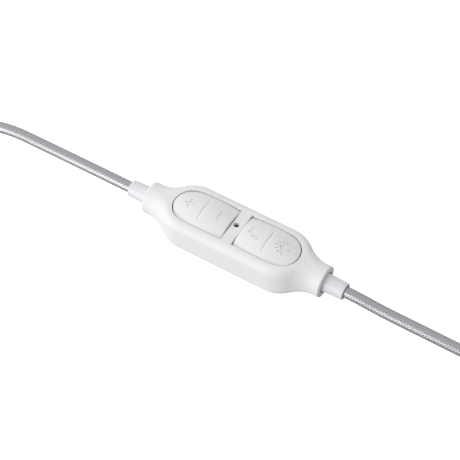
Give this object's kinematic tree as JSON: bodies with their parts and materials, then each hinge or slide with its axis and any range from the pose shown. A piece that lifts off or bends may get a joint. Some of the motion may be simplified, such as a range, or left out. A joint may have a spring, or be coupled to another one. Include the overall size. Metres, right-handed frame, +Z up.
{
  "type": "in-line headset remote with cord",
  "caption": "Slim white in-line audio remote with rocker buttons and a microphone, on a braided cord with a 3.5 mm plug and a USB plug.",
  "frame": {"origin": "centre of the pod's underside, on the surface that it lies on", "axes": "+X along the pod from the headset end (volume rocker) to the source end, +Y across the pod, +Z up out of the button face"},
  "size_m": [0.345, 0.029, 0.0236],
  "materials": {
    "housing_white": "matte moulded",
    "button_white": "matte moulded",
    "sleeve_white": "glossy moulded",
    "steel": "bright",
    "carrier_grey": "moulded",
    "board": "solder resist",
    "black_plastic": "moulded",
    "black_rubber": "matt",
    "mesh_cloth": "woven",
    "ceramic": "fired",
    "wire_red": "extruded",
    "braid": "braided polyester",
    "strap": "hook and loop",
    "plug_white": "moulded",
    "gold": "gold plated",
    "shell_steel": "stamped",
    "tongue_white": "moulded"
  },
  "bodies": {
    "pod": {"upper_housing": "housing_white", "lower_cover": "housing_white", "cover_screws": "steel", "rocker_pins": "steel", "button_carrier": "carrier_grey", "main_board": "board", "tact_switches": "black_plastic", "volume_plungers": "black_plastic", "function_plungers": "black_plastic", "microphone": "steel", "mic_boot": "black_rubber", "mic_mesh": "mesh_cloth", "codec_chip": "black_plastic", "crystal": "steel", "smd_parts": "ceramic", "source_sleeve": "sleeve_white", "headset_sleeve": "sleeve_white", "source_crimp": "steel", "headset_crimp": "steel", "source_wires": "wire_red", "headset_wires": "wire_red", "source_cord": "braid", "source_hank": "braid", "source_tail": "braid", "headset_cord": "braid", "headset_hank": "braid", "headset_tail": "braid", "source_tie": "strap", "headset_tie": "strap", "jack_relief": "plug_white", "jack_handle": "plug_white", "jack_barrel": "gold", "jack_rings": "gold", "jack_tip": "gold", "jack_insulators": "black_plastic", "usb_relief": "plug_white", "usb_overmould": "plug_white", "usb_shell": "shell_steel", "usb_tongue": "tongue_white", "usb_contacts": "gold"},
    "volume_button": {"volume_rocker": "button_white"},
    "function_button": {"function_rocker": "button_white"}
  },
  "joints": [
    {"name": "volume_rocker_tilt", "type": "hinge", "parent": "pod", "child": "volume_button", "pos_m": [-0.01065, 0, 0.0084], "axis": [0, 1, 0], "range_deg": [-2.5, 2.5], "stiffness_Nm_per_rad": 0.1, "deforming": ["volume_plungers"]},
    {"name": "function_rocker_tilt", "type": "hinge", "parent": "pod", "child": "function_button", "pos_m": [0.01065, 0, 0.0084], "axis": [0, 1, 0], "range_deg": [-2.5, 2.5], "stiffness_Nm_per_rad": 0.1, "deforming": ["function_plungers"]}
  ]
}
